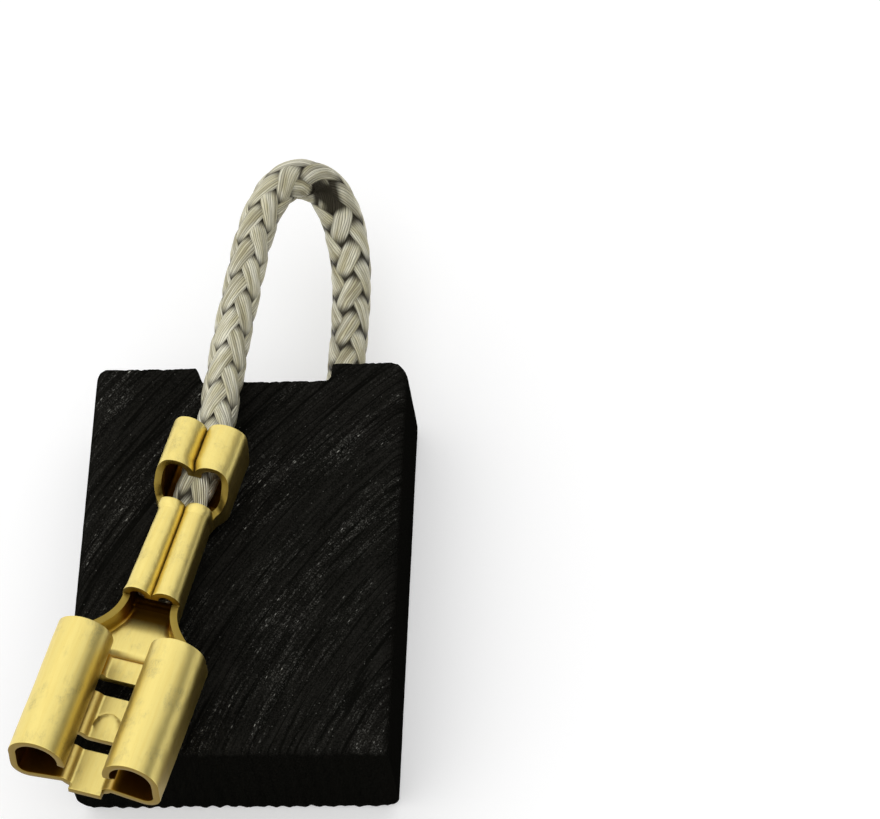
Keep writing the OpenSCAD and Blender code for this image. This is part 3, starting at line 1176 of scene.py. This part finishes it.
@dataclass
class BladeReceptacle:
    """One strip of brass: its flat blank is pressed, rolled and crimped into the terminal.

    Sizes are in millimetres. In the strip's own frame y counts from the mouth to the rear.
    """

    place: Point = (-6.1, -13.7, 7.996)
    heading: float = 13.6
    lift: float = 4.5
    lean: float = 3.0
    sheet: float = 0.35
    width: float = 7.5
    rolls: float = 7.25
    height: float = 3.3
    curl: float = 1.4
    bend: float = 0.8
    curl_angle: float = 212.0
    drop: float = 0.3  # depth of the pressed strip between the rolls
    slope: tuple[float, int] = (0.45, 6)  # run and parts of the pressed strip's sides
    lip: float = 0.32
    strip: float = 0.78  # half of the pressed strip's flat width
    strip_grows: tuple[float, float, float] = (5.4, 6.2, 0.3)  # from, to, by
    window: float = 1.6
    windows: tuple[tuple[float, float], ...] = ((1.9, 2.6), (4.97, 5.92))
    dimple: tuple[float, float, float, float] = (-0.12, 3.35, 0.62, 0.16)  # x, y, radius, height
    wire_front: float = 10.1
    wire_rear: float = 15.1
    bell_rear: float = 15.5
    root: float = 15.85
    rear_front: float = 17.0
    rear: float = 19.65
    shear: float = 0.02  # run of a cut across the strip
    wire_axis: float = 0.86
    rear_axis: float = 1.304
    wire_mouth: Lobes = Lobes(1.42, 2.2, 1.42)
    wire_end: Lobes = Lobes(1.28, 2.2, 1.42)
    wire_flare: Lobes = Lobes(0.04, 0.05, 0.05)
    bell_flare: Lobes = Lobes(0.1, 0.12, 0.08)
    neck: Lobes = Lobes(1.46, 2.44, 1.6)
    rear_lobes: Lobes = Lobes(1.9, 3.3, 2.2)
    lobe_turn: float = 165.0
    corner: float = 0.5
    dive: float = 0.12  # straight end of an edge in the seam
    press: float = 0.004  # by how much the two edges of a seam are pressed together
    seam_creep: float = -0.15
    creep_half: float = 1.6  # distance from the seam at which the creep ends
    creep_rise: tuple[float, float] = (0.8, 2.2)
    roll_wall: float = 1.35
    wire_wall: float = 1.5
    neck_wall: tuple[float, float] = (1.25, 1.3)
    slant: tuple[float, float] = (-0.1, 0.55)
    mouth_corner: tuple[float, float] = (0.22, 0.8)  # depth, run
    rear_corner: tuple[float, float] = (0.25, 0.6)  # depth, run
    ribs: tuple[float, float, float] = (0.36, 0.03, 0.4)  # pitch, depth, height that they reach
    waves: Point = (0.5, 0.35, 0.5)  # unevenness of the strip, for each millimetre
    wave_depth: tuple[float, float] = (0.012, 0.004)
    edge_bevel: float = 0.05
    edge_angle: float = 50.0
    columns: tuple[int, int] = (34, 40)
    row_step: float = 0.09
    bend_parts: int = 24
    curl_parts: int = 90
    corner_parts: int = 20
    lobe_parts: int = 70
    sections: dict[int, Section] = field(default_factory=dict)

    def frame(self) -> Matrix:
        """Place the strip's own frame on the block.

        Returns:
            The placement, in millimetres.
        """
        return (Matrix.Translation(self.place) @ Matrix.Rotation(math.radians(-self.heading), 4, "Z")
                @ Matrix.Rotation(math.radians(-self.lift), 4, "X")
                @ Matrix.Rotation(math.radians(self.lean), 4, "Y"))

    def lead_points(self) -> list[Point]:
        """Trace the middle of the lead through the barrels.

        Returns:
            Points from the rear to the front, in millimetres.
        """
        spots = ((self.rear, self.rear_axis), (self.rear - 1.3, self.rear_axis),
                 (self.rear_front + 0.1, 1.29), (self.bell_rear + 0.45, 1.1),
                 (self.bell_rear, self.wire_axis), (self.wire_rear - 2, self.wire_axis),
                 (self.wire_front + 0.55, self.wire_axis))
        return [tuple(self.frame() @ Vector((0.0, y, z))) for y, z in spots]

    @staticmethod
    def arc(x: float, z: float, radius: float, start: float, end: float, count: int) -> Path:
        """Return the points of an arc of so many straight parts, with its angles in degrees."""
        turns = [math.radians(start + (end - start) * i / count) for i in range(count + 1)]
        return [(x + radius * math.cos(turn), z + radius * math.sin(turn)) for turn in turns]

    def strip_edge(self, y: float) -> float:
        """Return half of the pressed strip's flat width, which grows towards the neck."""
        start, end, more = self.strip_grows
        return self.strip + more * smooth(start, end, y)

    def roll_path(self, y: float) -> Path:
        """Draw the section through the rolls.

        Args:
            y: Distance behind the mouth.

        Returns:
            Points from the middle outwards.
        """
        h, w = self.sheet / 2, self.width / 2
        run, parts = self.slope
        shares = [i / parts for i in range(parts + 1)]
        shoulder = [(self.strip_edge(y) + run * share, mix(h, h + self.drop, smooth(0, 1, share)))
                    for share in shares]
        return ([(0.0, h)] + shoulder
                + self.arc(w - self.bend, self.bend, self.bend - h, -95, 0, self.bend_parts)
                + self.arc(w - self.curl, self.height - self.curl, self.curl - h, 0, self.curl_angle,
                           self.curl_parts))

    def open_path(self, y: float) -> Path:
        """Draw the section of the open neck behind the rolls.

        Args:
            y: Distance behind the mouth.

        Returns:
            Points from the middle outwards.
        """
        share = (self.wire_front - y) / (self.wire_front - self.rolls)
        wide = clamp(share) ** 2.2
        h, half = self.sheet / 2, mix(self.wire_mouth.half, self.width / 2, wide)
        r = mix(self.corner, self.bend, wide)
        rise = self.drop * smooth(0.0, 0.55, share)
        low = h + rise * smooth(self.rolls - 0.02, self.rolls + 0.06, y)
        return ([(0.0, low), (min(1.08, (half - r) * 0.6), low), (min(1.53, (half - r) * 0.85), h + rise)]
                + self.arc(half - r, r, r - h, -92, 0, self.bend_parts) + [(half - h, self.height + 0.1)])

    def lobe_path(self, lobes: Lobes) -> Path:
        """Draw the section of a closed barrel with two lobes.

        Args:
            lobes: Sizes of the section.

        Returns:
            Points from the middle of the floor to the free edge in the seam.
        """
        h, r, half = self.sheet / 2, lobes.half / 2, lobes.half
        free = h - self.press
        return ([(0.0, h), (half * 0.3, h)]
                + self.arc(half - self.corner, self.corner, self.corner - h, -90, 0, self.corner_parts)
                + self.arc(half - r, lobes.top - r, r - h, 0, self.lobe_turn, self.lobe_parts)
                + [(free, lobes.seam + self.dive), (free, lobes.seam)])

    def path(self, y: float) -> Path:
        """Draw the strip's section.

        Args:
            y: Distance behind the mouth.

        Returns:
            Points from the middle of the floor to the free edge.
        """
        if y <= self.rolls:
            return self.roll_path(y)
        if y < self.wire_front:
            return self.open_path(y)
        if y <= self.bell_rear:
            share = (y - self.wire_front) / (self.wire_rear - self.wire_front)
            rear = smooth(self.wire_rear - 0.05, self.wire_rear + 0.22, y)
            front = 1 - smooth(self.wire_front, self.wire_front + 0.45, y)
            lobes = self.wire_mouth.toward(self.wire_end, share)
            return self.lobe_path(lobes.flared(self.bell_flare, rear).flared(self.wire_flare, front))
        return self.lobe_path(self.neck.toward(self.rear_lobes, smooth(self.bell_rear, self.root + 0.5, y)))

    def wall(self, y: float) -> float:
        """Find the height of the strip's edge where it isn't rolled or crimped.

        Args:
            y: Distance behind the mouth.

        Returns:
            The height.
        """
        if y < self.wire_front:
            return mix(self.roll_wall, self.wire_wall, smooth(self.rolls, self.wire_front, y))
        if y < self.bell_rear:
            return self.wire_wall
        return mix(*self.neck_wall, smooth(self.bell_rear, self.root, y))

    def section(self, key: int, y: float) -> Section:
        """Return the section at a distance behind the mouth, which is made once for each key.

        Args:
            key: Number under which the section is kept.
            y: Distance behind the mouth.

        Returns:
            The section.
        """
        if key not in self.sections:
            self.sections[key] = Section(self.path(y), self.wall(y))
        return self.sections[key]

    def stations(self) -> list[float]:
        """List where the blank has its rows of points.

        Returns:
            Distances behind the mouth.
        """
        _, middle, radius, _ = self.dimple
        marks = sorted([-self.lip, 0.0, *self.windows[0], *self.windows[1], middle - radius, middle + radius,
                        self.rolls, self.rolls + self.shear, self.wire_front - self.shear, self.wire_front,
                        self.wire_rear, self.bell_rear, self.bell_rear + self.shear, self.root,
                        self.root + self.shear, self.rear])
        rows: list[float] = []
        for a, b in zip(marks, marks[1:]):
            count = max(1, round((b - a) / self.row_step))
            rows += [a + (b - a) * i / count for i in range(count)]
        return rows + [marks[-1]]

    def has_metal(self, y: float, way: float, wing: bool) -> bool:
        """Tell whether the press tool left metal at a place of the flat blank.

        Args:
            y: Distance behind the mouth.
            way: Distance from the middle, along the strip.
            wing: Whether the place is on a roll or a crimping wing.

        Returns:
            True where there is metal.
        """
        if y < 0:
            return way < self.strip
        if wing:
            return y < self.rolls or self.wire_front < y < self.bell_rear or y > self.root
        return way >= self.window or not any(start < y < end for start, end in self.windows)

    def dimpled(self, x: float, y: float) -> float:
        """Find how far the half-sheared dimple lifts the floor.

        Args:
            x: Place across the strip.
            y: Distance behind the mouth.

        Returns:
            The height that is added.
        """
        across, middle, radius, height = self.dimple
        away = math.hypot(x - across, y - middle) / radius
        if away > 1:
            return 0.0
        return height * smooth(-0.75, 0.9, (y - middle) / radius) * (1 - smooth(0.86, 1.0, away))

    def shade(self, y: float, way: float, share: float) -> float:
        """Tell how much painted shade the inner face of the strip gets where it is closed in, on the pressed
        strip's sloped sides and on the step behind the rolls.

        Args:
            y: Distance behind the mouth.
            way: Distance from the middle, along the strip.
            share: Share of the way from a wing's root to its free edge.

        Returns:
            The painted shade, between 0, none, and 1, deep in a barrel.
        """
        if abs(y - self.rolls - 0.03) < 0.05 and way < 1.5:
            return 0.3
        if y < self.rolls:
            slope = 0.17 * math.exp(-(((way - self.strip_edge(y) - 0.3) / 0.2) ** 2))
            return max(slope, smooth(1.15, 1.8, way) * (1 - smooth(0.97, 1.0, share)))
        if y < self.wire_front:
            return 0.85 * smooth(self.wire_front - 1.3, self.wire_front + 0.1, y)
        return 1.0 if y < self.bell_rear or y > self.root + 0.8 else 0.35

    def folded(self, row: int, y: float, column: int) -> tuple[Vector, float, float]:
        """Fold one point of the blank.

        Args:
            row: Number of its row.
            y: Distance of the row behind the mouth.
            column: Number of its column, counted from the middle.

        Returns:
            The folded point in the strip's own frame, its way along the section and its share of a wing.
        """
        inner, outer = self.columns
        wing = abs(column) > inner
        share = (abs(column) - inner) / outer if wing else 0.0
        section, back = self.section(row, y), y
        if wing and y > self.root - 1e-6:
            slant = smooth(*self.slant, share) * (self.rear_front - self.root)
            back = y + slant * (self.rear - y) / (self.rear - self.root)
            section = self.section(1000 + round(back * 50), back)
        way = mix(section.edge, section.total[-1], share) if wing else section.edge * abs(column) / inner
        x, z = section.at(way)
        x *= -1 if column < 0 else 1
        if y >= 0 and way < 1.0:
            z += self.dimpled(x, y)
        if y > self.wire_front:
            creep = self.seam_creep * smooth(self.root, self.root + 1.0, y)
            x += creep * (1 - min(1.0, (x / self.creep_half) ** 2)) * smooth(*self.creep_rise, z)
        if wing and 0 <= y < self.rolls:
            free = smooth(0.9, 1.0, share)
            back = y + self.mouth_corner[0] * free * (1 - smooth(0, self.mouth_corner[1], y))
            back -= self.rear_corner[0] * free * smooth(self.rolls - self.rear_corner[1], self.rolls, y)
        wave = Vector((x * self.waves[0], back * self.waves[1], z * self.waves[2]))
        dent = self.wave_depth[0] * noise.noise(wave) + self.wave_depth[1] * noise.noise(wave * 4)
        pitch, depth, top = self.ribs
        if self.wire_front < y < self.wire_rear and z < top:
            z -= depth * (0.5 + 0.5 * math.cos(math.tau * (y - self.wire_front) / pitch))
        return Vector((x * (1 + dent), back, z + dent)), way, share

    def fold(self, bm: bmesh.types.BMesh) -> None:
        """Move every point of the flat blank to its place on the folded strip, and cut the blank out.

        Args:
            bm: A square grid that stands for the blank.
        """
        rows, half = self.stations(), sum(self.columns)
        place = self.frame()
        uv = bm.loops.layers.uv.new("strip")
        hollow = bm.verts.layers.float.new("hollow")
        flat: dict[bmesh.types.BMVert, tuple[float, float, bool]] = {}
        for vert in bm.verts:
            column = round((vert.co.x + 0.5) * 2 * half) - half
            row = round((vert.co.y + 0.5) * (len(rows) - 1))
            point, way, share = self.folded(row, rows[row], column)
            flat[vert] = (way if column >= 0 else -way, rows[row], abs(column) > self.columns[0])
            # Painted shade for the inner faces, stored on the points as hollow.
            vert[hollow] = self.shade(rows[row], way, share)
            vert.co = (place @ point) * MM
        gone = []
        for face in bm.faces:
            spots = [flat[v] for v in face.verts]
            way, y = (sum(spot[i] for spot in spots) / len(spots) for i in (0, 1))
            if not self.has_metal(y, abs(way), any(spot[2] for spot in spots)):
                gone.append(face)
            for loop in face.loops:
                loop[uv].uv = flat[loop.vert][:2]
        bmesh.ops.delete(bm, geom=gone, context="FACES")
        bmesh.ops.reverse_faces(bm, faces=bm.faces)

    def build(self, outside: bpy.types.Material, inside: bpy.types.Material,
              shear: bpy.types.Material) -> bpy.types.Object:
        """Make the terminal.

        Args:
            outside: Finish of the faces that the rolling mill left.
            inside: Finish of the same faces inside the rolls and barrels, with painted shade.
            shear: Finish of the cut edges.

        Returns:
            The terminal, as one piece.
        """
        bm = bmesh.new()
        bmesh.ops.create_grid(bm, x_segments=2 * sum(self.columns), y_segments=len(self.stations()) - 1,
                              size=0.5)
        self.fold(bm)
        piece = piece_object("blade_receptacle", bm, outside)
        piece.data.materials.append(inside)
        piece.data.materials.append(shear)
        wall = piece.modifiers.new("sheet", "SOLIDIFY")
        wall.thickness, wall.offset, wall.use_even_offset = self.sheet * MM, 0.0, False
        wall.material_offset, wall.material_offset_rim = 1, 2
        edges = piece.modifiers.new("sheared_edges", "BEVEL")
        edges.width, edges.segments, edges.limit_method = self.edge_bevel * MM, 2, "ANGLE"
        edges.angle_limit, edges.harden_normals = math.radians(self.edge_angle), False
        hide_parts("terminal")
        return piece


# ---- Studio -----------------------------------------------------------------------


@dataclass(frozen=True)
class Lamp:
    """Square soft lamp, with its place and size in metres and its power in watts."""

    name: str
    place: Point
    size: float
    power: float

    def hang(self, target: Vector) -> None:
        """Put the lamp into the scene.

        Args:
            target: Place that it faces.
        """
        data = bpy.data.lights.new(self.name, "AREA")
        data.size, data.energy = self.size, self.power
        holder = new_object(self.name, data)
        holder.location = self.place
        holder.rotation_euler = (target - Vector(self.place)).to_track_quat("-Z", "Y").to_euler()


@dataclass(frozen=True)
class Studio:
    """Camera, floor, world and soft lamps."""

    eye: Point = (0.031722, -0.098020, 0.183905)
    yaw: float = -0.2041
    pitch: float = 1.0230
    roll: float = -0.1912
    lens: float = 169.43
    sensor: float = 36.0
    nearest: float = 0.01
    floor_half: float = 1.5
    overhead: Point = (-0.42, 0.1, 0.9)  # direction from which the world is brightest
    sky: tuple[float, float, float, float] = (-0.1, 0.42, 0.08, 1.04)
    target: Point = (0, 0, 0.005)
    lamps: tuple[Lamp, ...] = (Lamp("key", (-0.25, 0.12, 0.45), 0.45, 0.15),
                               Lamp("fill", (-0.1, -0.3, 0.5), 0.5, 0.1))

    def camera(self) -> None:
        """Place the camera."""
        forward = Vector((math.sin(self.yaw) * math.cos(self.pitch),
                          math.cos(self.yaw) * math.cos(self.pitch), -math.sin(self.pitch)))
        right = forward.cross(Vector((0, 0, 1))).normalized()
        up = right.cross(forward)
        right, up = (math.cos(self.roll) * right + math.sin(self.roll) * up,
                     -math.sin(self.roll) * right + math.cos(self.roll) * up)
        data = bpy.data.cameras.new("camera")
        data.lens, data.sensor_width, data.clip_start = self.lens, self.sensor, self.nearest
        holder = new_object("camera", data)
        turned = Matrix((right, up, -forward)).transposed().to_4x4()
        holder.matrix_world = Matrix.Translation(self.eye) @ turned
        bpy.context.scene.camera = holder

    def floor(self, finish: bpy.types.Material) -> None:
        """Lay the floor.

        Args:
            finish: Material of the floor.
        """
        bm = bmesh.new()
        bmesh.ops.create_grid(bm, x_segments=1, y_segments=1, size=self.floor_half)
        ground = new_object("floor", new_mesh("floor", bm))
        ground.data.materials.append(finish)

    def light(self) -> None:
        """Set a white world that is bright overhead and dim at the sides, and hang the lamps."""
        world = bpy.data.worlds.new("studio")
        world.use_nodes = True
        tree = world.node_tree
        back = tree.nodes["Background"]
        back.inputs["Color"].default_value = (1, 1, 1, 1)
        toward = tree.nodes.new("ShaderNodeVectorMath")
        toward.operation = "DOT_PRODUCT"
        toward.inputs[1].default_value = self.overhead
        sky = tree.nodes.new("ShaderNodeMapRange")
        sky.interpolation_type = "SMOOTHSTEP"
        for key, value in zip(("From Min", "From Max", "To Min", "To Max"), self.sky):
            sky.inputs[key].default_value = value
        tree.links.new(tree.nodes.new("ShaderNodeTexCoord").outputs["Generated"], toward.inputs[0])
        tree.links.new(toward.outputs["Value"], sky.inputs["Value"])
        tree.links.new(sky.outputs["Result"], back.inputs["Strength"])
        bpy.context.scene.world = world
        for lamp in self.lamps:
            lamp.hang(Vector(self.target))


def main() -> None:
    """Load the frame, build every piece and report it."""
    logging.basicConfig(level=logging.INFO, format="%(name)s: %(message)s")
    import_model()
    bpy.context.scene.view_settings.view_transform = "Standard"
    studio = Studio()
    studio.camera()
    receptacle = BladeReceptacle()
    braid = BraidedLead(tail=receptacle.lead_points(), pressed=receptacle.frame().col[2].xyz)
    lead = braid.build(TinnedBraid().build("tinned_braid"))
    terminal = receptacle.build(SatinBrass().build("satin_brass"),
                                SatinBrass(inside=True).build("inner_brass"),
                                SatinBrass(sheared=True).build("sheared_brass"))
    LOG.info("braided lead, %.1f mm, %d faces", braid.run, len(lead.data.polygons))
    LOG.info("blade receptacle, %d faces of blank", len(terminal.data.polygons))
    block = CarbonBlock().build(GroundCarbon().build("ground_carbon"))
    LOG.info("fluted block, %d faces", len(block.data.polygons))
    plug = bpy.data.objects["tamping_plug"]
    plug.data.materials.clear()
    plug.data.materials.append(TampedPowder().build("tamped_powder"))
    LOG.info("tamping plug, %d faces", len(plug.data.polygons))
    studio.floor(PaleFloor().build("pale_floor"))
    studio.light()


if __name__ == "__main__":
    main()
